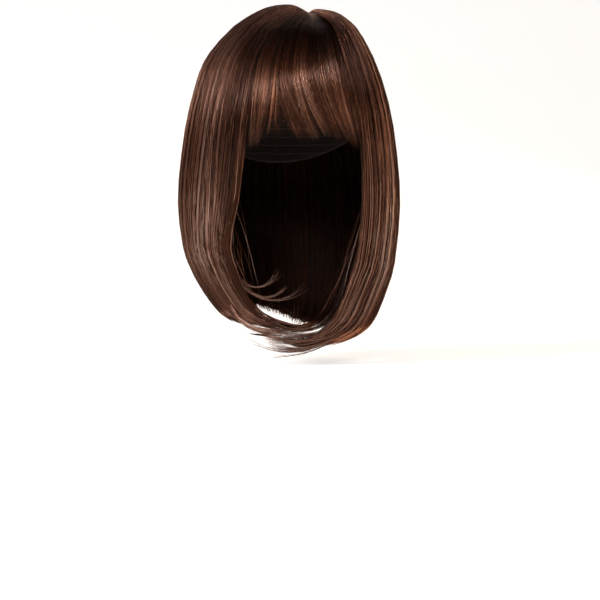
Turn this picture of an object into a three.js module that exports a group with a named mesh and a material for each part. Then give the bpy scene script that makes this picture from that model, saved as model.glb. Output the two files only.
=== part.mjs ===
// A straight chin-length bob wig with a full fringe, in the form it keeps on a head.
// Millimetres, +Z up, the face looks along -Y, and +X is the wearer's left.
// The origin is the inside of the cap's crown, where the top of the head touches it.
import * as THREE from "three";

// Driving dimensions of the stretch cap, outside
const CAP_HALF_WIDTH = 77.5;
const CAP_HALF_LENGTH = 97;
const CAP_HEIGHT = 94; // from the widest level up to the crown
const CAP_WALL = 1.6;
const CAP_RIM_LEVEL = -101; // mean height of the cap's edge
const CAP_RIM_TILT = 38; // the edge is this much higher at the forehead and lower at the nape
const CAP_COLUMNS = 36;
const CAP_ROWS = 9;
const HAIR_GAP = 1.2; // clear space between the cap and the hair that lies on it

// The parting: a narrow scalp strip, set off to the wearer's left
const PARTING_FROM_MIDDLE = 15;
const PARTING_FRONT = 31;
const PARTING_BACK = 27;
const STRIP_HALF_WIDTH = 2.2;
const STRIP_WALL = 1;
const STRIP_GAP = 0.4;
const STRIP_STEPS = 12;

// The hair's outer form, from the parting down to the tips. Each row is one station along the hair.
// side, front and back are reaches from the middle, each with the height of the hair there.
// middle is the shift of the station to the wearer's left, and leftDrop how much lower the left side hangs.
// thick is the hair's depth. rightEdge and leftEdge are the angles from the face to the side hair's front edge.
const STATION_COLUMNS = [
  "side", "sideZ", "front", "frontZ", "back", "backZ", "middle", "leftDrop", "thick", "rightEdge", "leftEdge",
];
const STATIONS = [
  [3, 1.5, 34, -3.5, 30, -1.5, PARTING_FROM_MIDDLE, 0, 2.5, 33, 33], // root
  [8, 6.8, 41, -2, 37, 3, 14.5, 1.5, 5, 33, 33], // lift
  [16, 9.5, 49, -3, 46, 5, 14, 4, 9, 33, 33], // crest
  [32, 7, 60, -8, 60, 3, 11, 4, 12, 33, 33], // crown
  [46, -1, 70, -15, 74, -4, 7.5, 2, 14, 33, 33], // upper crown
  [61, -14.3, 80, -26, 88, -18, 4, 0, 16, 33, 33], // dome
  [80.8, -42.8, 93, -50, 105, -46, 0, 0, 16, 33, 33], // temple
  [92.7, -77, 101, -80, 114.5, -79, 0, 0, 15, 33, 33], // brow
  [100.5, -114, 103, -115, 118, -114, 0, 0, 13, 33, 33], // ear
  [106.5, -175, 96, -172, 116, -166, 0, 2, 11, 34, 33], // cheek
  [101.5, -222, 92, -218, 107, -210, 0, 14, 10, 41, 31], // jaw
  [94, -243, 89, -240, 98, -232, 0, 18, 9, 40, 27], // curl
  [81, -266, 85, -266, 87, -254, 0, 25, 7.5, 37, 19], // under-curl
  [67, -284, 81, -287, 76, -273, 0, 20, 5, 24, -4], // turn
  [53, -294, 75, -300, 65, -285, 0, 15, 2.5, -34, -62], // tips
];
const LENGTH_KNOTS = stationLengths();
const HAIR_LENGTH = LENGTH_KNOTS.at(-1);

// The sections of hair: where they part from each other, and the locks in each
const SIDE_BACK_ANGLE = 110; // from the face round to the seam between side and back hair
const FRINGE_ANGLE = 33;
const SECTION_GAP = 0.8;
const LOCK_RELIEF = 2.2;
const LOCK_ROUNDNESS = 0.7; // under 1, locks are broad with narrow grooves between them
const RELIEF_STARTS = 10; // lengths of hair between which the grooves open out
const RELIEF_FULL = 120;
const TIP_NOTCH = 18; // how far the notches between lock tips reach up the hair
const SIDE_LOCKS = 6;
const BACK_LOCKS = 8;
const COLUMNS_PER_LOCK = 4;
const HALF_STEPS_AFTER = 4; // below this station, the hair has a row of points half-way to the next one too
const FREE_EDGE_SHARE = 0.3; // depth of a free front edge against the full depth
const FREE_EDGE_WIDTH = 0.22; // share of a section over which it thins to that edge
const HANGING_STARTS = 110; // lengths of hair between which it leaves the head and hangs free
const HANGING_FULL = 190;
const LEFT_BLEND = 0.5; // sine of the angle, each side of the middle, over which the left drop fades
const RIGHT_TIP_RISE = 17; // tips that turn in past the middle of the face rise again by this much
const LEFT_TIP_RISE = 9;
const TIP_RISE_ANGLE = 34; // how far past the middle the rise is whole

// The fringe's lower edge, each row one lock: its angle, the height of its tip,
// and the height of the notch after it. The deep notch is the opening over the forehead.
const FRINGE_LOCK_COLUMNS = ["angle", "tipZ", "notchZ"];
const FRINGE_LOCKS = [
  [-31, -128, -121],
  [-26, -125, -113],
  [-21.5, -114, -87],
  [-12, -118, -107],
  [-5.5, -118, -110],
  [1, -117, -110],
  [8, -116, -110],
  [15, -117, -111],
  [22, -118, -115],
  [29, -124, -121],
];
const FRINGE_SINK = 2.4; // the side hair lies this much proud of the fringe
const FRINGE_RELIEF = 1.1;
const FRINGE_RELIEF_STARTS = 5;
const FRINGE_RELIEF_FULL = 80;
const FRINGE_ROOT_DEPTH = 20;
const FRINGE_TIP_DEPTH = 2.4;
const FRINGE_THINS_FROM = 60; // length of hair at which the fringe starts to thin
const FRINGE_END_Z = -125;
const FRINGE_ROWS = 10;
const FRINGE_COLUMNS_PER_HALF_LOCK = 2;

const HAIR = { color: 0x3e261d, roughness: 0.45, metalness: 0 };
const CAP_NET = { color: 0x1d1411, roughness: 0.85, metalness: 0 };
const SCALP = { color: 0x8d7f74, roughness: 0.7, metalness: 0 };

// Small steps for slopes, and the number of halvings when a length is searched for
const STEP_ACROSS = 0.004;
const STEP_DOWN = 1.5;
const HALVINGS = 24;

// A station row with its columns named
function station(row) {
  return Object.fromEntries(STATION_COLUMNS.map((name, i) => [name, row[i]]));
}

// Length of hair from the root to each station, measured down the side
function stationLengths() {
  const lengths = [0];
  for (let i = 1; i < STATIONS.length; i++) {
    const from = station(STATIONS[i - 1]);
    const to = station(STATIONS[i]);
    const step = Math.hypot(to.side - from.side, to.sideZ - from.sideZ);
    lengths.push(lengths[i - 1] + step);
  }
  return lengths;
}

// All station columns at a length of hair, on a smooth curve through the rows
function stationAt(length) {
  const clamped = THREE.MathUtils.clamp(length, 0, HAIR_LENGTH);
  const next = Math.max(1, LENGTH_KNOTS.findIndex((knot) => knot >= clamped));
  const span = LENGTH_KNOTS[next] - LENGTH_KNOTS[next - 1];
  const p = (clamped - LENGTH_KNOTS[next - 1]) / span;
  const values = STATION_COLUMNS.map((_, column) => {
    const before = STATIONS[next - 1][column];
    const after = STATIONS[next][column];
    const slopeIn = slopeAt(next - 1, column) * span;
    const slopeOut = slopeAt(next, column) * span;
    return (
      before * (1 + 2 * p) * (1 - p) ** 2 +
      slopeIn * p * (1 - p) ** 2 +
      after * p * p * (3 - 2 * p) +
      slopeOut * p * p * (p - 1)
    );
  });
  return station(values);
}

// Change of a column for each millimetre of hair, at one station
function slopeAt(row, column) {
  const low = Math.max(0, row - 1);
  const high = Math.min(STATIONS.length - 1, row + 1);
  return (STATIONS[high][column] - STATIONS[low][column]) / (LENGTH_KNOTS[high] - LENGTH_KNOTS[low]);
}

// Share of the left side's extra drop that a lock takes, by the angle at its root
function leftShare(rootAngle) {
  const sine = Math.sin(THREE.MathUtils.degToRad(rootAngle));
  return THREE.MathUtils.smoothstep(sine, -LEFT_BLEND, LEFT_BLEND);
}

// Rise of hair from one side that has turned in past the middle of the face to the other side
function tipRise(angle, rootAngle) {
  const past = -Math.sign(rootAngle) * angle;
  const rise = rootAngle > 0 ? LEFT_TIP_RISE : RIGHT_TIP_RISE;
  return rise * THREE.MathUtils.smoothstep(past, 0, TIP_RISE_ANGLE);
}

// A point on the hair's outer form. Angles run from the face towards the wearer's left, in degrees.
function hairPoint(angle, length, rootAngle) {
  const s = stationAt(length);
  const turn = THREE.MathUtils.degToRad(angle);
  const across = Math.sin(turn);
  const along = Math.cos(turn);
  const reach = along > 0 ? s.front : s.back;
  const endZ = along > 0 ? s.frontZ : s.backZ;
  const level = s.sideZ * across ** 2 + endZ * along ** 2;
  return new THREE.Vector3(
    s.middle + s.side * across,
    -reach * along,
    level - s.leftDrop * leftShare(rootAngle) + tipRise(angle, rootAngle),
  );
}

// The outward direction of a surface given as a function of two numbers
function outwardAt(surface, u, length) {
  const across = surface(u + STEP_ACROSS, length).sub(surface(u - STEP_ACROSS, length));
  const down = surface(u, length + STEP_DOWN).sub(surface(u, length - STEP_DOWN));
  return down.cross(across).normalize();
}

// How far a point is from the cap's crown ellipsoid grown by the gap: under 1 is inside it
function capShare(point) {
  return Math.hypot(
    point.x / (CAP_HALF_WIDTH + HAIR_GAP),
    point.y / (CAP_HALF_LENGTH + HAIR_GAP),
    (point.z - CAP_WALL + CAP_HEIGHT) / (CAP_HEIGHT + HAIR_GAP),
  );
}

// The deepest point of the hair under an outer point: at most depth below it, and clear of the cap
function innerPoint(outer, outward, depth) {
  const at = (share) => outer.clone().addScaledVector(outward, -depth * share);
  if (capShare(at(1)) >= 1) return at(1);
  let clear = 0;
  let inside = 1;
  for (let i = 0; i < HALVINGS; i++) {
    const middle = (clear + inside) / 2;
    if (capShare(at(middle)) >= 1) clear = middle;
    else inside = middle;
  }
  return at(clear);
}

// A closed solid between two grids of points, [column][row]. A closed ring of columns joins its ends.
function shellGeometry(outside, inside, ring = false) {
  const columns = outside.length;
  const rows = outside[0].length;
  const places = new Map();
  const positions = [];
  const spots = [outside, inside].map((grid) => grid.map((column) => column.map((point) => {
    const key = point.toArray().map((value) => value.toFixed(3)).join(" ");
    if (!places.has(key)) {
      places.set(key, positions.length / 3);
      positions.push(...point.toArray());
    }
    return places.get(key);
  })));
  const index = [];
  const triangle = (a, b, c) => {
    if (a !== b && b !== c && c !== a) index.push(a, b, c);
  };
  const quad = (a, b, c, d) => {
    triangle(a, b, c);
    triangle(a, c, d);
  };
  const [outer, inner] = spots;
  for (let c = 0; c + 1 < columns; c++) {
    for (let r = 0; r + 1 < rows; r++) {
      quad(outer[c][r], outer[c][r + 1], outer[c + 1][r + 1], outer[c + 1][r]);
      quad(inner[c][r], inner[c + 1][r], inner[c + 1][r + 1], inner[c][r + 1]);
    }
    quad(outer[c][0], outer[c + 1][0], inner[c + 1][0], inner[c][0]);
    quad(outer[c + 1][rows - 1], outer[c][rows - 1], inner[c][rows - 1], inner[c + 1][rows - 1]);
  }
  for (let r = 0; r + 1 < rows && !ring; r++) {
    const last = columns - 1;
    quad(outer[0][r + 1], outer[0][r], inner[0][r], inner[0][r + 1]);
    quad(outer[last][r], outer[last][r + 1], inner[last][r + 1], inner[last][r]);
  }
  const geometry = new THREE.BufferGeometry();
  geometry.setAttribute("position", new THREE.Float32BufferAttribute(positions, 3));
  geometry.setIndex(index);
  geometry.computeVertexNormals();
  return geometry;
}

function named(name, geometry, finish) {
  const mesh = new THREE.Mesh(geometry, new THREE.MeshStandardMaterial(finish));
  mesh.name = name;
  return mesh;
}

// The stretch cap: an egg-shaped dome, open below, whose edge runs from the forehead down to the nape
function capPoint(angle, share, wall) {
  const turn = THREE.MathUtils.degToRad(angle);
  const rimZ = CAP_RIM_LEVEL + CAP_RIM_TILT * Math.cos(turn);
  const widestZ = CAP_WALL - CAP_HEIGHT;
  const rimPolar = Math.acos((rimZ - widestZ) / CAP_HEIGHT);
  const polar = rimPolar * share;
  return new THREE.Vector3(
    (CAP_HALF_WIDTH - wall) * Math.sin(polar) * Math.sin(turn),
    -(CAP_HALF_LENGTH - wall) * Math.sin(polar) * Math.cos(turn),
    widestZ + (CAP_HEIGHT - wall) * Math.cos(polar),
  );
}

function makeCap() {
  const grid = (wall) => Array.from({ length: CAP_COLUMNS + 1 }, (_, c) =>
    Array.from({ length: CAP_ROWS + 1 }, (_, r) =>
      capPoint((360 * (c % CAP_COLUMNS)) / CAP_COLUMNS, r / CAP_ROWS, wall)));
  return named("cap", shellGeometry(grid(0), grid(CAP_WALL), true), CAP_NET);
}

// The scalp-coloured strip that shows in the parting, laid on the cap
function makePartingStrip() {
  const surface = (across, along, lift) => {
    const x = PARTING_FROM_MIDDLE + across;
    const share = 1 - (x / CAP_HALF_WIDTH) ** 2 - (along / CAP_HALF_LENGTH) ** 2;
    return new THREE.Vector3(x, along, CAP_WALL - CAP_HEIGHT * (1 - Math.sqrt(share)) + lift);
  };
  const grid = (lift) => [STRIP_HALF_WIDTH, -STRIP_HALF_WIDTH].map((across) =>
    Array.from({ length: STRIP_STEPS + 1 }, (_, r) =>
      surface(across, THREE.MathUtils.lerp(-PARTING_FRONT, PARTING_BACK, r / STRIP_STEPS), lift)));
  const geometry = shellGeometry(grid(STRIP_GAP + STRIP_WALL), grid(STRIP_GAP));
  return named("parting_strip", geometry, SCALP);
}

// Raised across the middle of each lock and low between locks
function lockProfile(u, locks) {
  return Math.abs(Math.sin(Math.PI * locks * u)) ** LOCK_ROUNDNESS;
}

// One section of hair: locks side by side, fused into one backing along their whole length.
// angleAt gives the angle at a share across the section and a length, and endAt where each column ends.
function hairSection({ shares, rowShares, angleAt, endAt, reliefAt, depthAt }) {
  const surface = (u, length) => hairPoint(angleAt(u, length), length, angleAt(u, 0));
  const clearOfNeighbours = (u, length) => {
    const width = surface(0.5 + STEP_ACROSS, length).distanceTo(surface(0.5 - STEP_ACROSS, length));
    const half = (SECTION_GAP * STEP_ACROSS) / width;
    return THREE.MathUtils.clamp(u, half, 1 - half);
  };
  const outside = [];
  const inside = [];
  for (const share of shares) {
    const outerColumn = [];
    const innerColumn = [];
    for (const rowShare of rowShares) {
      const length = endAt(share) * rowShare;
      const u = clearOfNeighbours(share, length);
      const outward = outwardAt(surface, u, THREE.MathUtils.clamp(length, STEP_DOWN, HAIR_LENGTH - STEP_DOWN));
      const outer = surface(u, length).addScaledVector(outward, -reliefAt(u, length));
      outerColumn.push(outer);
      innerColumn.push(innerPoint(outer, outward, depthAt(u, length)));
    }
    outside.push(outerColumn);
    inside.push(innerColumn);
  }
  return shellGeometry(outside, inside);
}

// Grooves between locks open out over the first part of the hair
function hangingRelief(u, length, locks) {
  const opened = THREE.MathUtils.smoothstep(length, RELIEF_STARTS, RELIEF_FULL);
  return LOCK_RELIEF * opened * (1 - lockProfile(u, locks));
}

function evenShares(count) {
  return Array.from({ length: count + 1 }, (_, i) => i / count);
}

// Shares of a hanging lock's length at which it has a row of points: one at each station, more where it curls
function hangingRows() {
  return LENGTH_KNOTS.flatMap((knot, i) => {
    const halfStep = (LENGTH_KNOTS[i - 1] + knot) / 2;
    return i > HALF_STEPS_AFTER ? [halfStep, knot] : [knot];
  }).map((length) => length / HAIR_LENGTH);
}

function tipEnd(u, locks) {
  return HAIR_LENGTH - TIP_NOTCH * (1 - lockProfile(u, locks));
}

// side is 1 for the wearer's left and -1 for the right
function makeSideHair(name, side) {
  const edge = side > 0 ? "leftEdge" : "rightEdge";
  const angleAt = (u, length) => {
    const fromFace = side > 0 ? u : 1 - u;
    return side * THREE.MathUtils.lerp(stationAt(length)[edge], SIDE_BACK_ANGLE, fromFace);
  };
  const depthAt = (u, length) => {
    const fromFace = side > 0 ? u : 1 - u;
    const hangs = THREE.MathUtils.smoothstep(length, HANGING_STARTS, HANGING_FULL);
    const thinned = THREE.MathUtils.lerp(
      FREE_EDGE_SHARE, 1, THREE.MathUtils.smoothstep(fromFace, 0, FREE_EDGE_WIDTH));
    return stationAt(length).thick * THREE.MathUtils.lerp(1, thinned, hangs);
  };
  const geometry = hairSection({
    shares: evenShares(SIDE_LOCKS * COLUMNS_PER_LOCK),
    rowShares: hangingRows(),
    angleAt,
    endAt: (u) => tipEnd(u, SIDE_LOCKS),
    reliefAt: (u, length) => hangingRelief(u, length, SIDE_LOCKS),
    depthAt,
  });
  return named(name, geometry, HAIR);
}

function makeBackHair() {
  const geometry = hairSection({
    shares: evenShares(BACK_LOCKS * COLUMNS_PER_LOCK),
    rowShares: hangingRows(),
    angleAt: (u) => THREE.MathUtils.lerp(SIDE_BACK_ANGLE, 360 - SIDE_BACK_ANGLE, u),
    endAt: (u) => tipEnd(u, BACK_LOCKS),
    reliefAt: (u, length) => hangingRelief(u, length, BACK_LOCKS),
    depthAt: (u, length) => stationAt(length).thick,
  });
  return named("back_hair", geometry, HAIR);
}

// Length of hair at which the front of the form passes a height
function frontLengthAt(height) {
  let low = LENGTH_KNOTS[2];
  let high = HAIR_LENGTH;
  for (let i = 0; i < HALVINGS; i++) {
    const middle = (low + high) / 2;
    if (stationAt(middle).frontZ > height) low = middle;
    else high = middle;
  }
  return low;
}

// The fringe's lower edge as turning points: lock tips and the notches between them
function fringeEdge() {
  const locks = FRINGE_LOCKS.map((row) =>
    Object.fromEntries(FRINGE_LOCK_COLUMNS.map((name, i) => [name, row[i]])));
  const points = [{ angle: -FRINGE_ANGLE, z: locks[0].notchZ }];
  locks.forEach((lock, i) => {
    const after = i + 1 < locks.length ? (lock.angle + locks[i + 1].angle) / 2 : FRINGE_ANGLE;
    points.push({ angle: lock.angle, z: lock.tipZ }, { angle: after, z: lock.notchZ });
  });
  return points;
}

function makeFringe() {
  const edge = fringeEdge();
  const shareOf = (angle) => (angle + FRINGE_ANGLE) / (2 * FRINGE_ANGLE);
  const edgeAt = (u) => {
    const after = Math.max(1, edge.findIndex((point) => shareOf(point.angle) >= u - 1e-9));
    const from = edge[after - 1];
    const to = edge[after];
    const p = (u - shareOf(from.angle)) / (shareOf(to.angle) - shareOf(from.angle));
    return { z: THREE.MathUtils.lerp(from.z, to.z, p), raised: after % 2 ? p : 1 - p };
  };
  const shares = edge.slice(1).flatMap((point, i) =>
    Array.from({ length: FRINGE_COLUMNS_PER_HALF_LOCK }, (_, step) =>
      shareOf(THREE.MathUtils.lerp(edge[i].angle, point.angle, step / FRINGE_COLUMNS_PER_HALF_LOCK))));
  const geometry = hairSection({
    shares: [...shares, 1],
    rowShares: evenShares(FRINGE_ROWS),
    angleAt: (u) => THREE.MathUtils.lerp(-FRINGE_ANGLE, FRINGE_ANGLE, u),
    endAt: (u) => frontLengthAt(edgeAt(u).z),
    reliefAt: (u, length) => {
      const opened = THREE.MathUtils.smoothstep(length, FRINGE_RELIEF_STARTS, FRINGE_RELIEF_FULL);
      return opened * (FRINGE_SINK + FRINGE_RELIEF * (1 - edgeAt(u).raised));
    },
    depthAt: (u, length) => {
      const ends = THREE.MathUtils.smoothstep(length, FRINGE_THINS_FROM, frontLengthAt(FRINGE_END_Z));
      return Math.min(stationAt(length).thick, THREE.MathUtils.lerp(FRINGE_ROOT_DEPTH, FRINGE_TIP_DEPTH, ends));
    },
  });
  return named("fringe", geometry, HAIR);
}

const wig = new THREE.Group();
wig.name = "bob_wig";
wig.add(
  makeCap(),
  makePartingStrip(),
  makeFringe(),
  makeSideHair("right_side_hair", -1),
  makeSideHair("left_side_hair", 1),
  makeBackHair(),
);

export default wig;
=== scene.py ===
import math

import bpy
import numpy as np
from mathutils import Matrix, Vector


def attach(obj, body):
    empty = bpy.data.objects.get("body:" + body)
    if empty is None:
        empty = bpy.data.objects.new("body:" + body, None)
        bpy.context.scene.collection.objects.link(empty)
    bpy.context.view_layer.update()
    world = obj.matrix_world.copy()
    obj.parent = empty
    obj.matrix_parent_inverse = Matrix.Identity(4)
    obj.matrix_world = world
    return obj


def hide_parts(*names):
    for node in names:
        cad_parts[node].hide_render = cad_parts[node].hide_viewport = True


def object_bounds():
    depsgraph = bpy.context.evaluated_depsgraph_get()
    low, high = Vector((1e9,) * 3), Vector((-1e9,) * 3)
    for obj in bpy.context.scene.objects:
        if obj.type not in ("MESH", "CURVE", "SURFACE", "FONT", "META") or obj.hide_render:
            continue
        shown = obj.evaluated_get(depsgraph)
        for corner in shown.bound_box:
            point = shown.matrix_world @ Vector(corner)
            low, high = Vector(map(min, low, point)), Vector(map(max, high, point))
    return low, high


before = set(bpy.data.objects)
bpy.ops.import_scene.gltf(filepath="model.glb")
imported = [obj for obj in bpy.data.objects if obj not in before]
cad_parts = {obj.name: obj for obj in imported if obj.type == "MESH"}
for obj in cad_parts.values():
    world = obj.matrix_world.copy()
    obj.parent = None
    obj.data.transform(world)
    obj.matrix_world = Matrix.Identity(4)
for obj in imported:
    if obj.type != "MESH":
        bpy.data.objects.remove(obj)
cad_low, cad_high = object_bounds()

# The hair's form is worked out in millimetres, and turned into metres where meshes are made
MM = 0.001
NEARLY_NOTHING = 1e-12

# The hair's outer form from the parting to the tips, one row for each station along the hair:
# reaches from the middle to the side, front and back, each with its height, the shift of the middle
# to the wearer's left, the extra drop of the left side, the hair's depth, and the angles from the middle
# of the front to the front edges of the right and left side hair.
STATION_COLUMNS = (
    "side", "side_z", "front", "front_z", "back", "back_z",
    "middle", "left_drop", "thick", "right_edge", "left_edge",
)
STATIONS = np.array([
    [3, 1.5, 34, -3.5, 30, -1.5, 15, 0, 2.5, 33, 33],  # root
    [8, 6.8, 41, -2, 37, 3, 14.5, 1.5, 5, 33, 33],  # lift
    [16, 9.5, 49, -3, 46, 5, 14, 4, 9, 33, 33],  # crest
    [32, 7, 60, -8, 60, 3, 11, 4, 12, 33, 33],  # crown
    [46, -1, 70, -15, 74, -4, 7.5, 2, 14, 33, 33],  # upper crown
    [61, -14.3, 80, -26, 88, -18, 4, 0, 16, 33, 33],  # dome
    [80.8, -42.8, 93, -50, 105, -46, 0, 0, 16, 33, 33],  # upper side
    [92.7, -77, 101, -80, 114.5, -79, 0, 0, 15, 33, 33],  # middle of the fringe
    [100.5, -114, 103, -115, 118, -114, 0, 0, 13, 33, 33],  # tips of the fringe
    [106.5, -175, 96, -172, 116, -166, 0, 2, 11, 34, 33],  # widest
    [101.5, -222, 92, -218, 107, -210, 0, 14, 10, 41, 31],  # turning in
    [94, -243, 89, -240, 98, -232, 0, 18, 9, 40, 27],  # curl
    [81, -266, 85, -266, 87, -254, 0, 25, 7.5, 37, 19],  # under-curl
    [67, -284, 81, -287, 76, -273, 0, 20, 5, 24, -4],  # turn
    [53, -294, 75, -300, 65, -285, 0, 15, 2.5, -34, -62],  # tips
], float)
STATION_STEPS = np.hypot(np.diff(STATIONS[:, 0]), np.diff(STATIONS[:, 1]))
STATION_LENGTHS = np.concatenate([[0.0], np.cumsum(STATION_STEPS)])
HAIR_LENGTH = STATION_LENGTHS[-1]
CREST = 2
CURVE_STEPS, FRONT_STEPS = 1500, 600

# Angles from the middle of the front, in degrees, at which the sections of hair meet
SIDE_BACK_ANGLE = 110
FRINGE_ANGLE = 33

# The left side's extra drop comes in across the middle, and front tips rise where they pass it
LEFT_BLEND = 0.5
TIP_RISE = {"right": 17, "left": 9}
TIP_RISE_ANGLE = 34

# A side's front edge thins over the lengths at which it leaves the cap and hangs
HANGING = (110, 190)
FREE_EDGE_SHARE, FREE_EDGE_WIDTH = 0.3, 0.22
FORM_CENTRE = np.array([0.0, 0.0, -150.0])

# The cap under the hair, grown by the clear space that the hair keeps from it
CAP_REACH = np.array([78.7, 98.2, 95.2])
CAP_CENTRE = np.array([0.0, 0.0, -92.4])
DEPTH_HALVINGS = 12

# The fringe's lower edge: angle from the middle of the front, and height of the tips there
FRINGE_EDGE = np.array([
    [-34, -127], [-31, -130], [-26, -127], [-21.5, -118], [-12, -120], [-5, -120], [1, -119],
    [8, -118], [15, -119], [22, -120], [29, -126], [34, -128],
], float)
FRINGE_GAP_ANGLE = -17.5
FRINGE_GAP_TOP = -84
FRINGE_SINK = 2.4


def smoothstep(value, low, high):
    share = np.clip((value - low) / (high - low), 0, 1)
    return share * share * (3 - 2 * share)


def lerp(low, high, share):
    return low + (high - low) * share


def unit(vectors):
    return vectors / (np.linalg.norm(vectors, axis=-1, keepdims=True) + NEARLY_NOTHING)


def station_curve():
    """Every station column at close steps of length, on a smooth curve through the rows."""
    length = np.linspace(0, HAIR_LENGTH, CURVE_STEPS + 1)
    after = np.clip(np.searchsorted(STATION_LENGTHS, length), 1, len(STATIONS) - 1)
    before = after - 1
    span = (STATION_LENGTHS[after] - STATION_LENGTHS[before])[:, None]
    p = (length - STATION_LENGTHS[before])[:, None] / span
    low = np.maximum(np.arange(len(STATIONS)) - 1, 0)
    high = np.minimum(np.arange(len(STATIONS)) + 1, len(STATIONS) - 1)
    slopes = (STATIONS[high] - STATIONS[low]) / (STATION_LENGTHS[high] - STATION_LENGTHS[low])[:, None]
    return (
        STATIONS[before] * (1 + 2 * p) * (1 - p) ** 2
        + slopes[before] * span * p * (1 - p) ** 2
        + STATIONS[after] * p * p * (3 - 2 * p)
        + slopes[after] * span * p * p * (p - 1)
    )


STATION_CURVE = station_curve()


def station_at(length):
    """Every station column at each length of hair."""
    place = np.clip(np.asarray(length, float), 0, HAIR_LENGTH) / HAIR_LENGTH * CURVE_STEPS
    step = np.minimum(place.astype(int), CURVE_STEPS - 1)
    values = lerp(STATION_CURVE[step], STATION_CURVE[step + 1], (place - step)[..., None])
    return dict(zip(STATION_COLUMNS, np.moveaxis(values, -1, 0)))


def section_angle(section, u, length):
    """Angle from the middle of the front at a share across a section; sides count from the front back."""
    if section == "back":
        return SIDE_BACK_ANGLE + (360 - 2 * SIDE_BACK_ANGLE) * u
    if section == "fringe":
        return FRINGE_ANGLE * (2 * u - 1)
    edge = station_at(length)[section + "_edge"]
    turn = lerp(edge, SIDE_BACK_ANGLE, u)
    return turn if section == "left" else -turn


def hair_point(section, u, length):
    """Points on the hair's outer form, in millimetres."""
    s = station_at(length)
    angle = section_angle(section, u, length)
    root_angle = section_angle(section, u, np.zeros_like(length))
    across, along = np.sin(np.radians(angle)), np.cos(np.radians(angle))
    reach = np.where(along > 0, s["front"], s["back"])
    end_z = np.where(along > 0, s["front_z"], s["back_z"])
    drop = s["left_drop"] * smoothstep(np.sin(np.radians(root_angle)), -LEFT_BLEND, LEFT_BLEND)
    past_middle = -np.sign(root_angle) * angle
    rise = TIP_RISE.get(section, 0) * smoothstep(past_middle, 0, TIP_RISE_ANGLE)
    x = s["middle"] + s["side"] * across
    z = s["side_z"] * across**2 + end_z * along**2 - drop + rise
    return np.stack([x, -reach * along, z], axis=-1)


def outward_at(section, u, length):
    """The form's outward direction at each point."""
    step_u, step_length = 0.004, 1.5
    length = np.clip(length, step_length, HAIR_LENGTH - step_length)
    across = hair_point(section, u + step_u, length) - hair_point(section, u - step_u, length)
    down = hair_point(section, u, length + step_length) - hair_point(section, u, length - step_length)
    normal = unit(np.cross(down, across))
    away = hair_point(section, u, length) - FORM_CENTRE
    return normal * np.sign((normal * away).sum(axis=-1, keepdims=True))


def hair_depth(section, u, length):
    """Depth of the hair: a side section thins towards its free front edge."""
    thick = station_at(length)["thick"]
    if section in TIP_RISE:
        thinned = lerp(FREE_EDGE_SHARE, 1, smoothstep(u, 0, FREE_EDGE_WIDTH))
        thick = thick * lerp(1, thinned, smoothstep(length, *HANGING))
    return thick


def clear_of_cap(outer, outward, depth):
    """The largest depth below the outer form, up to the depth asked for, that stays off the cap."""
    def outside(share):
        point = outer - outward * (depth * share)[..., None]
        return np.linalg.norm((point - CAP_CENTRE) / CAP_REACH, axis=-1) >= 1

    clear = np.where(outside(np.ones_like(depth)), 1.0, 0.0)
    blocked = np.ones_like(depth)
    for _ in range(DEPTH_HALVINGS):
        middle = (clear + blocked) / 2
        free = outside(middle)
        clear = np.where(free, middle, clear)
        blocked = np.where(free, blocked, middle)
    return depth * clear


def front_length_at(height):
    """Length of hair at which the front of the form passes a height."""
    grid = np.linspace(STATION_LENGTHS[CREST], HAIR_LENGTH, FRONT_STEPS)
    return np.interp(-np.asarray(height), -station_at(grid)["front_z"], grid)


# Strands: a path is laid with fine steps, and kept with fewer that crowd together at its bends
STRAND_SIDES = np.radians([30.0, 150.0, 270.0])
FINE_STEPS = 120
BEND_WEIGHT = 110
STEP_SHIFT = 0.45
MAP_ALONG, MAP_ACROSS = (0.06, 0.94), (0.12, 0.88)


def fine_lengths(start, end):
    """Closely spaced lengths from start to end for each strand."""
    return lerp(start[:, None], end[:, None], np.linspace(0, 1, FINE_STEPS))


def even_steps(rng, points, outward, lengths, count):
    """Each strand's path again with fewer points, closest at bends and not level with its neighbours'."""
    step = np.diff(points, axis=1)
    travel = np.linalg.norm(step, axis=-1)
    heading = unit(step)
    turn = np.arccos(np.clip((heading[:, 1:] * heading[:, :-1]).sum(axis=-1), -1, 1))
    turn = np.concatenate([turn, turn[:, -1:]], axis=1)
    begin = np.zeros((len(points), 1))
    run = np.concatenate([begin, np.cumsum(travel + BEND_WEIGHT * turn, axis=1)], axis=1)
    fine = np.concatenate([points, outward, lengths[..., None]], axis=-1)
    channels = fine.shape[-1]
    kept = np.empty((len(points), count, channels))
    shares = np.linspace(0, 1, count)
    step_share = shares[1] * (shares > 0) * (shares < 1)
    shift = rng.uniform(-STEP_SHIFT, STEP_SHIFT, len(points))
    for strand in range(len(points)):
        stops = run[strand, -1] * (shares + shift[strand] * step_share)
        for channel in range(channels):
            kept[strand, :, channel] = np.interp(stops, run[strand], fine[strand, :, channel])
    return kept[..., :3], unit(kept[..., 3:6]), kept[..., 6]


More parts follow.
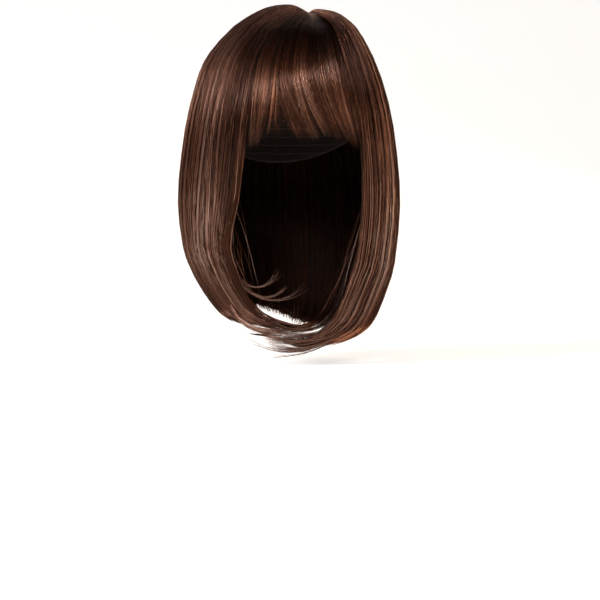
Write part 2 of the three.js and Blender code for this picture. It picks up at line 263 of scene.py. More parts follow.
def strand_object(name, points, outward, radii, tones):
    """One mesh of tapered three-sided strands. points and outward are [strand, step, xyz]."""
    count, steps, _ = points.shape
    sides = len(STRAND_SIDES)
    tangent = unit(np.gradient(points, axis=1))
    across = unit(np.cross(tangent, outward))
    up = np.cross(across, tangent)
    turns = STRAND_SIDES[:, None]
    ring = np.cos(turns) * across[:, :, None, :] + np.sin(turns) * up[:, :, None, :]
    corners = (points[:, :, None, :] + ring * radii[:, :, None, None]) * MM

    spot = np.arange(count * steps * sides).reshape(count, steps, sides)
    following = np.roll(spot, -1, axis=2)
    quads = np.stack([spot[:, :-1], spot[:, 1:], following[:, 1:], following[:, :-1]], axis=-1)
    root_caps = spot[:, 0, :]
    tip_caps = spot[:, -1, ::-1]
    loops = np.concatenate([quads.ravel(), root_caps.ravel(), tip_caps.ravel()])
    sizes = np.concatenate([
        np.full(count * (steps - 1) * sides, 4), np.full(2 * count, 3),
    ])

    mesh = bpy.data.meshes.new(name)
    mesh.vertices.add(count * steps * sides)
    mesh.vertices.foreach_set("co", corners.astype(np.float32).ravel())
    mesh.loops.add(len(loops))
    mesh.loops.foreach_set("vertex_index", loops.astype(np.int32))
    mesh.polygons.add(len(sizes))
    starts = np.concatenate([[0], np.cumsum(sizes)[:-1]])
    mesh.polygons.foreach_set("loop_start", starts.astype(np.int32))
    mesh.polygons.foreach_set("use_smooth", np.ones(len(sizes), bool))
    mesh.update(calc_edges=True)

    each = np.repeat(tones.ravel(), sides)
    mesh.attributes.new("tone", "FLOAT", "POINT").data.foreach_set("value", each.astype(np.float32))
    lay_strand_map(mesh, count, steps, sides)

    obj = bpy.data.objects.new(name, mesh)
    bpy.context.scene.collection.objects.link(obj)
    return obj


def lay_strand_map(mesh, count, steps, sides):
    """A map in which each strand has a cell of its own, with its length across the cell."""
    cells = math.ceil(math.sqrt(count))
    cell_x = (np.arange(count) % cells)[:, None, None]
    cell_y = (np.arange(count) // cells)[:, None, None]
    share = np.linspace(*MAP_ALONG, steps)
    near = np.broadcast_to(share[None, :-1, None], (count, steps - 1, sides))
    far = np.broadcast_to(share[None, 1:, None], (count, steps - 1, sides))
    low, high = MAP_ACROSS
    u = np.stack([near, far, far, near], axis=-1) + cell_x[..., None]
    v = np.broadcast_to(np.array([low, low, high, high]), u.shape) + cell_y[..., None]
    cap_v = np.broadcast_to(np.array([low, (low + high) / 2, high]), (count, 3)) + cell_y[:, :, 0]
    root_u = np.broadcast_to(np.array([share[0], share[1], share[0]]), (count, 3)) + cell_x[:, :, 0]
    tip_u = np.broadcast_to(np.array([share[-1], share[-2], share[-1]]), (count, 3)) + cell_x[:, :, 0]
    flat_u = np.concatenate([u.ravel(), root_u.ravel(), tip_u.ravel()])
    flat_v = np.concatenate([v.ravel(), cap_v.ravel(), cap_v.ravel()])
    layer = mesh.uv_layers.new(name="OFBake")
    layer.data.foreach_set("uv", (np.stack([flat_u, flat_v], axis=-1) / cells).astype(np.float32).ravel())


# Shares of a strand's width at its ends, and the millimetres over which it reaches its full width
ROOT_THINNESS, ROOT_SWELL = 0.7, 30
TIP_THINNESS, TIP_TAPER = 0.12, 45


def strand_radii(rng, points, width):
    """Half-widths along each strand: a little thinner at the root, and drawn out to a fine tip."""
    step = np.linalg.norm(np.diff(points, axis=1), axis=-1)
    travelled = np.concatenate([np.zeros((len(points), 1)), np.cumsum(step, axis=1)], axis=1)
    left = travelled[:, -1:] - travelled
    full = rng.uniform(*width, len(points))[:, None]
    at_root = lerp(ROOT_THINNESS, 1, smoothstep(travelled, 0, ROOT_SWELL))
    at_tip = lerp(TIP_THINNESS, 1, smoothstep(left, 0, TIP_TAPER))
    return full * at_root * at_tip


# Three layers of strands: top ones run from the parting, under ones start lower down and lie deeper,
# and inside ones line the hollow of the wig. Starts are lengths of hair, depths are shares.
STARTS = {"top": (0, 0), "under": (4, 165), "inside": (120, 215)}
DEPTHS = {"top": (0, 0.6), "under": (0.4, 1), "inside": (0.86, 1)}

# Tones run from 0, the darkest hair, to 1. Shares are of the hair's length.
# The under and inside layers are painted darker than the top: painted shade within the hair
MIDDLE_TONES = {"top": 0.41, "under": 0.15, "inside": 0.04}
LOCK_TONE_SPREAD, BUNDLE_TONE_SPREAD, STRAND_TONE_SPREAD = 0.08, 0.09, 0.19
LIGHT_STRANDS, LIGHT_STRAND_TONE = 0.06, 0.22
ROOT_SPREAD, TIP_SPREAD, SPREAD_SHARES = 0.8, 1.25, (0.3, 0.6)
# Painted shade darkens each section near the parting, the fringe most, and painted light brightens all hair
# towards its tips
ROOT_PAINTED_SHADES = {"right": 0.55, "left": 0.75, "back": 0.5, "fringe": 0.05}
PAINTED_SHADE_SHARES = (0.17, 0.36)
TIP_PAINTED_LIGHT, TIP_PAINTED_LIGHT_SHARES = 1.8, (0.56, 0.74)

# Strands are more even on the back, and on the sides away from their front edges, and get less painted
# light at their tips
CALM_WIDTH, CALM_SPREAD, CALM_TIP_PAINTED_LIGHT = (0.3, 0.6), 0.6, 1.25
# Here too the under and inside layers are painted darker: painted shade within the hair
CALM_TONES = {"top": 0.37, "under": 0.26, "inside": 0.04}


def strand_tones(rng, lock, bundle, locks, lengths, layer, root_painted_shade, calm):
    """The tone of each strand along its length. Locks, bundles and single strands differ, and all are
    more even near the parting than towards their tips. Painted shade darkens them near the parting and
    painted light brightens them towards their tips. calm is each strand's evenness."""
    calm = calm[:, None]
    middle = lerp(MIDDLE_TONES[layer], CALM_TONES[layer], calm)
    lock_tone = rng.normal(0, LOCK_TONE_SPREAD, locks)[lock]
    lock_tone = lock_tone + rng.normal(0, BUNDLE_TONE_SPREAD, (locks, BUNDLES_IN_LOCK))[lock, bundle]
    own_tone = rng.normal(0, STRAND_TONE_SPREAD, len(lock))
    light = (rng.random(len(lock)) < LIGHT_STRANDS) * LIGHT_STRAND_TONE
    share = lengths / HAIR_LENGTH
    spread = lerp(ROOT_SPREAD, TIP_SPREAD, smoothstep(share, *SPREAD_SHARES)) * lerp(1, CALM_SPREAD, calm)
    spread = spread * middle / MIDDLE_TONES["top"]
    # shade holds the painted shade near the parting and the painted light towards the tips
    shade = lerp(root_painted_shade, 1, smoothstep(share, *PAINTED_SHADE_SHARES))
    tip_painted_light = lerp(TIP_PAINTED_LIGHT, CALM_TIP_PAINTED_LIGHT, calm)
    shade = shade * lerp(1, tip_painted_light, smoothstep(share, *TIP_PAINTED_LIGHT_SHARES))
    apart = (lock_tone + own_tone + light)[:, None] * spread
    return np.clip(middle * shade + apart * np.sqrt(shade), 0, 1)


# A sway is a long wave and a shorter one, each stretched at random
WAVE_STRETCH, SHORT_WAVE = (0.75, 1.35), 0.6
LONG_WAVE_PART, SHORT_WAVE_PART = 0.65, 0.35


def swaying(rng, count, lengths, wave):
    """A slow random sway, about -1 to 1, along each row of lengths."""
    phase = rng.uniform(0, 2 * np.pi, (2, count))[:, :, None]
    scale = rng.uniform(*WAVE_STRETCH, (2, count))[:, :, None] * wave / (2 * np.pi)
    long_wave = np.sin(phase[0] + lengths / scale[0])
    short_wave = np.sin(phase[1] + lengths / (SHORT_WAVE * scale[1]))
    return LONG_WAVE_PART * long_wave + SHORT_WAVE_PART * short_wave


# Strands lie in locks, and those in bundles. Neighbouring locks overlap a little.
LOCK_UNEVENNESS = 0.5
LOCK_OVERLAP = 1.12
BUNDLES_IN_LOCK = 4


def lay_out_locks(rng, locks):
    """Middles and half-widths, as shares of a section, of locks of uneven width side by side."""
    widths = rng.lognormal(0, LOCK_UNEVENNESS, locks)
    edges = np.concatenate([[0.0], np.cumsum(widths)]) / widths.sum()
    return (edges[1:] + edges[:-1]) / 2, np.diff(edges) / 2


def lock_places(rng, count, weights):
    """Each strand's lock, its place across the lock from -1 to 1, its bundle and the bundle's middle."""
    lock = rng.choice(len(weights), count, p=weights / weights.sum())
    place = rng.uniform(-LOCK_OVERLAP, LOCK_OVERLAP, count)
    bundle_width = 2 * LOCK_OVERLAP / BUNDLES_IN_LOCK
    bundle = np.floor((place + LOCK_OVERLAP) / bundle_width).astype(int)
    return lock, place, bundle, (bundle + 0.5) * bundle_width - LOCK_OVERLAP


def drawn_together(place, bundle_middle, bundle_gather, lock_gather):
    """Places across a lock as bundles, and then the whole lock, draw together: 0 apart, 1 at a point."""
    in_bundle = (place - bundle_middle)[:, None] * (1 - bundle_gather)
    return (bundle_middle[:, None] + in_bundle) * (1 - lock_gather)


# Hair that hangs: lengths and depths in millimetres, sways in half-widths of a lock, widths in shares of
# the section
FRONT_TIP_TRAVEL, TURNED_WIDTH = 4.2, 0.6
FRONT_FULLNESS, FRONT_FULL_WIDTH = 0.8, 0.1
# Painted shade darkens a side's front edge, and the underside of its curl
FRONT_PAINTED_SHADE, FRONT_PAINTED_SHADE_WIDTH = 0.35, 0.07
CURL_PAINTED_SHADE, CURL_PAINTED_SHADE_RANGE, CURL_PAINTED_SHADE_WIDTH = 0.4, (300, 330), (0.12, 0.4)
LOCK_SHORT, BUNDLE_SHORT, STRAND_SHORT = 3, 4, 3
LAYERED_SHARE, LAYERED_SHORT = 0.1, (5, 45)
BUNDLE_GATHER, BUNDLE_GATHER_FROM = 0.7, 110
LOCK_GATHER, LOCK_GATHER_FROM = 0.42, 190
LOOSENING = (20, 200)
LOCK_SWAY, STRAND_SWAY, STRAY_SWAY, SWAY_WAVE = 0.45, 0.16, 1.6, 260
LOCK_SWAY_ROWS = 30
STRAY_SHARE, STRAY_LIFT = 0.035, 0.7
EDGE_WIDTH, EDGE_OVERLAP, EDGE_FADE = 0.04, 0.06, (120, 185)
LAYER_DEPTH, LOCK_DEPTH, LOCK_ROUNDING = 2.1, 2.4, 2.4
LOCK_DEPTH_RANGE, LOCK_ROUNDING_RANGE = (20, 130), (25, 150)
HIDDEN_DEPTH, HIDDEN_START = 2.6, 32
DEEPEST_SHARE = 0.85


def tip_travel(section, u):
    """How far hair runs for each millimetre of length at its tip: most at a side's turned-in front edge."""
    if section not in TIP_RISE:
        return np.ones_like(u)
    return lerp(FRONT_TIP_TRAVEL, 1, smoothstep(u, 0, TURNED_WIDTH))


def front_weights(section, middles, halves):
    """How many strands each lock gets: its width, and more near a side's front edge."""
    if section not in TIP_RISE:
        return halves
    return halves * (1 + FRONT_FULLNESS * np.exp(-middles / FRONT_FULL_WIDTH))


def tip_shortness(rng, lock, bundle, locks):
    """How far each strand stops short of the full length."""
    count = len(lock)
    by_lock = rng.uniform(0, LOCK_SHORT, locks)[lock]
    by_bundle = rng.uniform(0, BUNDLE_SHORT, (locks, BUNDLES_IN_LOCK))[lock, bundle]
    layered = (rng.random(count) < LAYERED_SHARE) * rng.uniform(*LAYERED_SHORT, count)
    return by_lock + by_bundle + rng.exponential(STRAND_SHORT, count) + layered


def lock_sway(rng, lock, locks, lengths):
    """The sway of each strand's lock at each of its lengths."""
    rows = np.linspace(0, HAIR_LENGTH, LOCK_SWAY_ROWS)
    paths = swaying(rng, locks, rows[None, :], SWAY_WAVE)
    return np.stack([np.interp(own, rows, paths[number]) for own, number in zip(lengths, lock)])


def hanging_tones(rng, section, layer, middles, lock, bundle, lengths):
    """Tones of hanging strands: a side gets painted shade at its front edge, and behind that under its
    curl.
    """
    middle = middles[lock]
    calm = smoothstep(middle, *CALM_WIDTH) if section in TIP_RISE else np.ones(len(lock))
    tones = strand_tones(rng, lock, bundle, len(middles), lengths, layer, ROOT_PAINTED_SHADES[section], calm)
    if section in TIP_RISE:
        # Painted shade at the front edge, then painted shade under the curl
        tones = tones * (1 - FRONT_PAINTED_SHADE * np.exp(-middle / FRONT_PAINTED_SHADE_WIDTH))[:, None]
        curl_shade_mask = smoothstep(middle, *CURL_PAINTED_SHADE_WIDTH)[:, None]
        tones = tones * (1 - CURL_PAINTED_SHADE * curl_shade_mask * smoothstep(lengths, *CURL_PAINTED_SHADE_RANGE))
    return tones


def hanging_course(rng, section, layout, places, lengths):
    """Each strand's place across its section at each length, and how far it lifts off if it is a stray."""
    middles, halves = layout
    lock, place, _, bundle_middle = places
    count = len(lock)
    bundle_gather = BUNDLE_GATHER * smoothstep(lengths, BUNDLE_GATHER_FROM, HAIR_LENGTH)
    lock_gather = LOCK_GATHER * smoothstep(lengths, LOCK_GATHER_FROM, HAIR_LENGTH)
    across = drawn_together(place, bundle_middle, bundle_gather, lock_gather)
    stray = (rng.random(count) < STRAY_SHARE)[:, None]
    own_sway = swaying(rng, count, lengths, SWAY_WAVE) * np.where(stray, STRAY_SWAY, STRAND_SWAY)
    sway = LOCK_SWAY * lock_sway(rng, lock, len(middles), lengths) + own_sway
    loose = smoothstep(lengths, *LOOSENING)
    u = np.clip(middles[lock][:, None] + halves[lock][:, None] * (across + sway * loose), 0, 1)
    if section in TIP_RISE:
        overlap = np.exp(-middles[lock] / EDGE_WIDTH) * rng.uniform(0, EDGE_OVERLAP, count)
        u = u - overlap[:, None] * (1 - smoothstep(lengths, *EDGE_FADE))
    return u, STRAY_LIFT * stray * loose


def hanging_sink(rng, layer, lock, place, locks, lengths, room):
    """How deep each strand lies below the hair's outer form at each length."""
    depth = rng.uniform(*DEPTHS[layer], len(lock))[:, None]
    if layer == "inside":
        return room * depth
    by_lock = LOCK_DEPTH * rng.uniform(0, 1, locks)[lock][:, None]
    by_lock = by_lock * smoothstep(lengths, *LOCK_DEPTH_RANGE)
    rounded = LOCK_ROUNDING * place[:, None] ** 2 * smoothstep(lengths, *LOCK_ROUNDING_RANGE)
    begun = smoothstep(lengths - lengths[:, :1], 0, HIDDEN_START)
    hidden = HIDDEN_DEPTH * (1 - begun) * (layer == "under")
    return np.minimum(LAYER_DEPTH * depth + by_lock + rounded + hidden, DEEPEST_SHARE * room)


def hanging_strands(rng, section, layer, layout, count, points, width):
    """Strands of a side or back section, gathered into locks towards their tips."""
    middles, halves = layout
    locks = len(middles)
    places = lock_places(rng, count, front_weights(section, middles, halves))
    lock, place, bundle, _ = places
    start = rng.uniform(*STARTS[layer], count)
    end = HAIR_LENGTH - tip_shortness(rng, lock, bundle, locks) / tip_travel(section, middles[lock])
    lengths = fine_lengths(start, end)
    u, lift = hanging_course(rng, section, layout, places, lengths)

    outer = hair_point(section, u, lengths)
    outward = outward_at(section, u, lengths)
    room = clear_of_cap(outer, outward, hair_depth(section, u, lengths))
    sink = hanging_sink(rng, layer, lock, place, locks, lengths, room)
    if layer == "inside":
        facing = -outward
    else:
        facing = outward
        sink = sink - lift
    path = outer - outward * sink[..., None]
    kept, facing, kept_lengths = even_steps(rng, path, facing, lengths, points)
    tones = hanging_tones(rng, section, layer, middles, lock, bundle, kept_lengths)
    return kept, facing, strand_radii(rng, kept, width), tones


# The fringe: turns in degrees, lengths and lifts in millimetres
FRINGE_STARTS = {"top": (0, 0), "under": (3, 120)}
FRINGE_BUNDLE_GATHER, FRINGE_BUNDLE_DRAW = 0.85, 70
FRINGE_LOCK_GATHER, FRINGE_LOCK_DRAW = 0.35, 50
FRINGE_LOCK_LIFT, FRINGE_BUNDLE_LIFT, FRINGE_STRAND_LIFT = (-9, -3), (0, 4), 3.5
FRINGE_POINT = 8
FRINGE_TURN_LENGTH, FRINGE_TURN_POWER = 62, 1.8
FRINGE_SWEEP, FRINGE_SWEEP_LOSS, FRINGE_SWEEP_RANGE = 11, 4, (0, 25)
GAP_PULL, GAP_PULL_ANGLE, GAP_PULL_WIDTH = 3.0, -20, 6
EDGE_PULL, EDGE_PULL_RANGE = 3.5, (24, 33)
FRINGE_LOCK_TURN, FRINGE_STRAND_TURN = 0.9, 0.7
GAP_WISP_WIDTH, GAP_WISP_SHARE, GAP_WISP_TURN = 4, 0.12, (-3, 9)
FRINGE_SWAY, FRINGE_WAVE, FRINGE_LOOSENING = 0.12, 130, (15, 90)
FRINGE_SPILL = (-0.09, 1.08)
FRINGE_LAYER, FRINGE_LOCK_DEPTH, FRINGE_HIDDEN, FRINGE_HIDDEN_START = 0.4, 0.18, 0.5, 28
FRINGE_LEAST_SUNK, FRINGE_MOST_SUNK, FRINGE_SINK_RANGE, FRINGE_SINK_START = 0.2, 0.35, (-33, 20), 40
FRINGE_FLOOR, FRINGE_RELIEF = 0.9, (15, 100)
# The whole fringe is painted darker than the sides: painted shade
FRINGE_PAINTED_SHADE = 0.88


def fringe_sweep(angle):
    """How far fringe hair turns to the wearer's left by its tip: it turns away from the fringe's gap."""
    at_gap = GAP_PULL * np.exp(-(((angle - GAP_PULL_ANGLE) / GAP_PULL_WIDTH) ** 2))
    right_of_gap = -at_gap - EDGE_PULL * smoothstep(-angle, *EDGE_PULL_RANGE)
    left_of_gap = FRINGE_SWEEP - FRINGE_SWEEP_LOSS * smoothstep(angle, *FRINGE_SWEEP_RANGE)
    return np.where(angle > FRINGE_GAP_ANGLE, left_of_gap, right_of_gap)


def fringe_top(angle, room):
    """How far the fringe lies below the outer form: level with the right side's hair, under the left's."""
    sunk = FRINGE_SINK * smoothstep(angle, *FRINGE_SINK_RANGE)
    return np.minimum(FRINGE_LEAST_SUNK + sunk, FRINGE_MOST_SUNK * room)


def fringe_turns(rng, lock, middles, angle):
    """Each strand's turn by its tip. A lock turns as one, except where the gap runs through it."""
    count, locks = len(lock), len(middles)
    lock_angle = FRINGE_ANGLE * (2 * middles[lock] - 1)
    same_side = (angle > FRINGE_GAP_ANGLE) == (lock_angle > FRINGE_GAP_ANGLE)
    turn = fringe_sweep(np.where(same_side, lock_angle, angle))
    turn = turn + rng.normal(0, FRINGE_LOCK_TURN, locks)[lock] + rng.normal(0, FRINGE_STRAND_TURN, count)
    in_gap = np.abs(angle - FRINGE_GAP_ANGLE) < GAP_WISP_WIDTH
    wisp = in_gap & (rng.random(count) < GAP_WISP_SHARE)
    return np.where(wisp, rng.uniform(*GAP_WISP_TURN, count), turn)


def fringe_ends(rng, places, locks, tip_angle):
    """Length of each strand: tips lie along the fringe's edge, where each bundle comes to a point."""
    lock, place, bundle, bundle_middle = places
    tip_z = np.interp(tip_angle, FRINGE_EDGE[:, 0], FRINGE_EDGE[:, 1])
    lock_lift = rng.uniform(*FRINGE_LOCK_LIFT, locks)[lock]
    bundle_lift = rng.uniform(*FRINGE_BUNDLE_LIFT, (locks, BUNDLES_IN_LOCK))[lock, bundle]
    point_lift = FRINGE_POINT * np.abs(place - bundle_middle) * BUNDLES_IN_LOCK / LOCK_OVERLAP
    strand_lift = rng.exponential(FRINGE_STRAND_LIFT, len(lock))
    return front_length_at(tip_z + lock_lift + bundle_lift + point_lift + strand_lift)


def fringe_sink(rng, layer, lock, locks, u, lengths, room):
    """How deep each fringe strand lies below the hair's outer form at each length."""
    begun = smoothstep(lengths - lengths[:, :1], 0, FRINGE_HIDDEN_START)
    hidden = FRINGE_HIDDEN * ((1 - begun) * (layer == "under"))
    by_lock = rng.uniform(0, FRINGE_LOCK_DEPTH, locks)[lock][:, None] * smoothstep(lengths, *FRINGE_RELIEF)
    top = fringe_top(section_angle("fringe", u, lengths), room) * smoothstep(lengths, 0, FRINGE_SINK_START)
    depth = rng.uniform(*DEPTHS[layer], len(lock))[:, None]
    share = np.minimum(FRINGE_LAYER * depth + by_lock + hidden, 1)
    return lerp(top, FRINGE_FLOOR * room, share)


def fringe_strands(rng, layer, layout, count, points, width):
    """Strands of the fringe: they fan out from the end of the parting, and part at a gap low down."""
    middles, halves = layout
    locks = len(middles)
    places = lock_places(rng, count, halves)
    lock, place, bundle, bundle_middle = places
    start_u = np.clip(middles[lock] + halves[lock] * place, 0, 1)
    angle = FRINGE_ANGLE * (2 * start_u - 1)
    turn = fringe_turns(rng, lock, middles, angle)
    end = fringe_ends(rng, places, locks, angle + turn)
    start = rng.uniform(*FRINGE_STARTS[layer], count)
    lengths = fine_lengths(start, end)

    left = end[:, None] - lengths
    bundle_gather = FRINGE_BUNDLE_GATHER * (1 - smoothstep(left, 0, FRINGE_BUNDLE_DRAW))
    lock_gather = FRINGE_LOCK_GATHER * (1 - smoothstep(left, 0, FRINGE_LOCK_DRAW))
    across = drawn_together(place, bundle_middle, bundle_gather, lock_gather)
    sway = FRINGE_SWAY * swaying(rng, count, lengths, FRINGE_WAVE) * smoothstep(lengths, *FRINGE_LOOSENING)
    bend = np.clip(1 - left / FRINGE_TURN_LENGTH, 0, 1) ** FRINGE_TURN_POWER
    u = middles[lock][:, None] + halves[lock][:, None] * (across + sway)
    u = np.clip(u + turn[:, None] / (2 * FRINGE_ANGLE) * bend, *FRINGE_SPILL)

    outer = hair_point("fringe", u, lengths)
    outward = outward_at("fringe", u, lengths)
    room = clear_of_cap(outer, outward, station_at(lengths)["thick"])
    sink = fringe_sink(rng, layer, lock, locks, u, lengths, room)
    path = outer - outward * sink[..., None]
    kept, facing, kept_lengths = even_steps(rng, path, outward, lengths, points)
    calm = np.zeros(count)
    tones = strand_tones(rng, lock, bundle, locks, kept_lengths, layer, ROOT_PAINTED_SHADES["fringe"], calm)
    # The fringe's tones get painted shade
    return kept, facing, strand_radii(rng, kept, width), tones * FRINGE_PAINTED_SHADE


# Wisps and feathered ends, each a curve from its root end to its tip, in millimetres
WISPS = [
    # from, first pull, second pull, to, strands, spread
    ((-58, -62, -245), (-46, -70, -266), (-28, -70, -256), (-19, -66, -241), 14, 2.2),
    ((-56, -64, -250), (-42, -71, -273), (-24, -72, -268), (-14, -68, -258), 26, 1.4),
    ((-54, -64, -256), (-34, -72, -277), (-10, -74, -270), (2, -72, -257), 5, 2.0),
    ((-40, -72, -280), (-12, -80, -302), (14, -78, -302), (31, -66, -281), 60, 1.8),
    ((-64, -36, -264), (-57, -50, -299), (-34, -68, -303), (4, -74, -294), 160, 3.2),
    ((52, -66, -282), (36, -76, -296), (12, -80, -303), (-30, -74, -303), 80, 2.0),
    ((40, -70, -293), (18, -80, -315), (-6, -82, -317), (-30, -76, -311), 110, 2.2),
    ((44, -70, -288), (22, -80, -310), (-4, -82, -310), (-34, -73, -304), 90, 1.8),
    ((20, -76, -309), (-8, -80, -322), (-38, -68, -318), (-54, -46, -299), 6, 2.6),
    ((30, -72, -305), (8, -80, -320), (-18, -80, -323), (-38, -72, -318), 10, 2.2),
]
WISP_FRAYING = np.array([0.6, 0.5, 0.7, 1.2])
WISP_OUTWARD = np.array([0.0, -1.0, 0.2])
WISP_SHARES = (0.5, 1)

# Single hairs that hang inside a side's front edge
LOOSE_HAIRS = 9
LOOSE_STARTS, LOOSE_ENDS, LOOSE_WIDTH = (232, 285), (318, 350), (0.01, 0.08)
LOOSE_INWARD = {"right": np.array([0.7, 0.7, 0]), "left": np.array([-0.7, 0.7, 0])}
LOOSE_ROOT_IN, LOOSE_TIP_IN = 2.0, (4, 22)
LOOSE_BELLY, LOOSE_SWING = (-2, 16), (-18, 4)
LOOSE_THINNESS = 0.5


def bezier(controls, share):
    a, b, c, d = (controls[:, i, None, :] for i in range(4))
    t = share[None, :, None]
    return a * (1 - t) ** 3 + 3 * b * t * (1 - t) ** 2 + 3 * c * t * t * (1 - t) + d * t**3


def loose_hair_curves(rng, section):
    """Single hairs that have come away from a side's front edge and hang inside it."""
    u = rng.uniform(*LOOSE_WIDTH, LOOSE_HAIRS)
    root = hair_point(section, u, rng.uniform(*LOOSE_STARTS, LOOSE_HAIRS))
    tip = hair_point(section, u, rng.uniform(*LOOSE_ENDS, LOOSE_HAIRS))
    inward = LOOSE_INWARD[section]
    root = root + inward * LOOSE_ROOT_IN
    tip = tip + inward * rng.uniform(*LOOSE_TIP_IN, LOOSE_HAIRS)[:, None]
    belly = lerp(root, tip, 1 / 3) + inward * rng.uniform(*LOOSE_BELLY, LOOSE_HAIRS)[:, None]
    swing = lerp(root, tip, 2 / 3) + inward * rng.uniform(*LOOSE_SWING, LOOSE_HAIRS)[:, None]
    return np.stack([root, belly, swing, tip], axis=1)


def wisp_strands(rng, points, width):
    """The wisps and feathered ends, and the single hairs inside the front edges."""
    curves = [loose_hair_curves(rng, section) for section in TIP_RISE]
    for *curve, strands, spread in WISPS:
        shift = rng.normal(0, spread, (strands, 4, 3)) * WISP_FRAYING[None, :, None]
        curves.append(np.array(curve, float)[None] + shift)
    path = bezier(np.concatenate(curves), np.linspace(0, 1, FINE_STEPS))
    outward = np.broadcast_to(WISP_OUTWARD, path.shape)
    lengths = np.broadcast_to(np.linspace(*WISP_SHARES, FINE_STEPS) * HAIR_LENGTH, path.shape[:2])
    kept, facing, kept_lengths = even_steps(rng, path, outward, lengths, points)
    lock = np.arange(len(path))
    bundle = np.zeros_like(lock)
    calm = np.zeros(len(lock))
    tones = strand_tones(rng, lock, bundle, len(lock), kept_lengths, "top", ROOT_PAINTED_SHADES["right"], calm)
    radii = strand_radii(rng, kept, width)
    radii[:LOOSE_HAIRS * len(TIP_RISE)] *= LOOSE_THINNESS
    return kept, facing, radii, tones


# The hair under the top strands: sizes in millimetres, and shares of a section or of the hair's depth
BODY_SINK, BODY_SINK_START = 6.0, 30
BODY_ACROSS = (0.002, 0.998)
BODY_FLOOR, BODY_THINNEST = 0.95, 0.1
GIRTH_LENGTH, GIRTH_SPAN = 200.0, 0.02

# How far bodies stop short of the tips, and the depth of their ragged ends with the turns of its wave
SIDE_SHORT, SIDE_SHORT_WIDTH, SIDE_RAGGED, SIDE_WAVE = (4, 12), 0.5, 2, 40
BACK_SHORT, BACK_RAGGED, BACK_WAVE = 10, 3, 46
FRINGE_SHORT, GAP_SHORT, GAP_SHIFT, GAP_WIDTH = 15, 6, 2, 4.5


def shell_object(name, outside, inside, across, along):
    """A closed shell between two grids of points, [column, row, xyz], with a map in metres of hair."""
    columns, rows, _ = outside.shape
    grid = np.arange(columns * rows).reshape(columns, rows)
    inner = grid + columns * rows

    def quads(a, b, c, d):
        return np.stack([a.ravel(), b.ravel(), c.ravel(), d.ravel()], axis=-1)

    faces = np.concatenate([
        quads(grid[:-1, :-1], grid[:-1, 1:], grid[1:, 1:], grid[1:, :-1]),
        quads(inner[:-1, :-1], inner[1:, :-1], inner[1:, 1:], inner[:-1, 1:]),
        quads(grid[:-1, 0], grid[1:, 0], inner[1:, 0], inner[:-1, 0]),
        quads(grid[1:, -1], grid[:-1, -1], inner[:-1, -1], inner[1:, -1]),
        quads(grid[0, 1:], grid[0, :-1], inner[0, :-1], inner[0, 1:]),
        quads(grid[-1, :-1], grid[-1, 1:], inner[-1, 1:], inner[-1, :-1]),
    ])
    points = np.concatenate([outside.reshape(-1, 3), inside.reshape(-1, 3)]) * MM
    mesh = bpy.data.meshes.new(name)
    mesh.from_pydata(points.tolist(), [], faces.tolist())
    place = np.stack([across.ravel(), along.ravel()], axis=-1) * MM
    corner_map = np.concatenate([place, place])[faces.ravel()]
    mesh.uv_layers.new(name="along_hair").data.foreach_set("uv", corner_map.astype(np.float32).ravel())
    mesh.polygons.foreach_set("use_smooth", np.ones(len(faces), bool))
    mesh.update()
    obj = bpy.data.objects.new(name, mesh)
    bpy.context.scene.collection.objects.link(obj)
    return obj


def section_girth(section):
    """The width of a whole section, going by its middle."""
    length = np.array([GIRTH_LENGTH])
    near, far = (hair_point(section, np.array([0.5 + side * GIRTH_SPAN / 2]), length) for side in (-1, 1))
    return np.linalg.norm(far - near) / GIRTH_SPAN


def body_object(name, section, columns, rows, end_at, share):
    """The bulk of a section of hair, a little below its outer form and short of its tips."""
    u = np.linspace(*BODY_ACROSS, columns)
    end = end_at(u)
    lengths = end[:, None] * np.linspace(0, 1, rows)[None, :]
    u = np.broadcast_to(u[:, None], lengths.shape)
    outer = hair_point(section, u, lengths)
    outward = outward_at(section, u, lengths)
    depth = hair_depth(section, u, lengths)
    room = clear_of_cap(outer, outward, depth)
    top = np.minimum(BODY_SINK * smoothstep(lengths, 0, BODY_SINK_START), share * room)
    floor = np.maximum(BODY_FLOOR * room, top + BODY_THINNEST)
    outside = outer - outward * top[..., None]
    inside = outer - outward * floor[..., None]
    if section == "right":
        outside, inside = outside[::-1], inside[::-1]
    return shell_object(name, outside, inside, u * section_girth(section), lengths)


def side_body_end(u):
    short = lerp(*SIDE_SHORT, smoothstep(u, 0, SIDE_SHORT_WIDTH))
    return HAIR_LENGTH - short - SIDE_RAGGED * np.sin(SIDE_WAVE * u) ** 2


def back_body_end(u):
    return HAIR_LENGTH - BACK_SHORT - BACK_RAGGED * np.sin(BACK_WAVE * u) ** 2


def fringe_body_end(u):
    angle = FRINGE_ANGLE * (2 * u - 1)
    edge = np.interp(angle, FRINGE_EDGE[:, 0], FRINGE_EDGE[:, 1]) + FRINGE_SHORT
    near_gap = np.exp(-(((angle - FRINGE_GAP_ANGLE - GAP_SHIFT) / GAP_WIDTH) ** 2))
    return front_length_at(lerp(edge, FRINGE_GAP_TOP + GAP_SHORT, near_gap))


# Materials: the colours along each ramp, from its low end

HAIR_TONES = [
    (0.0, (0.008, 0.0020, 0.0007)),
    (0.3, (0.054, 0.0172, 0.0078)),
    (0.6, (0.154, 0.0630, 0.0350)),
    (0.85, (0.290, 0.162, 0.116)),
    (1.0, (0.440, 0.290, 0.228)),
]
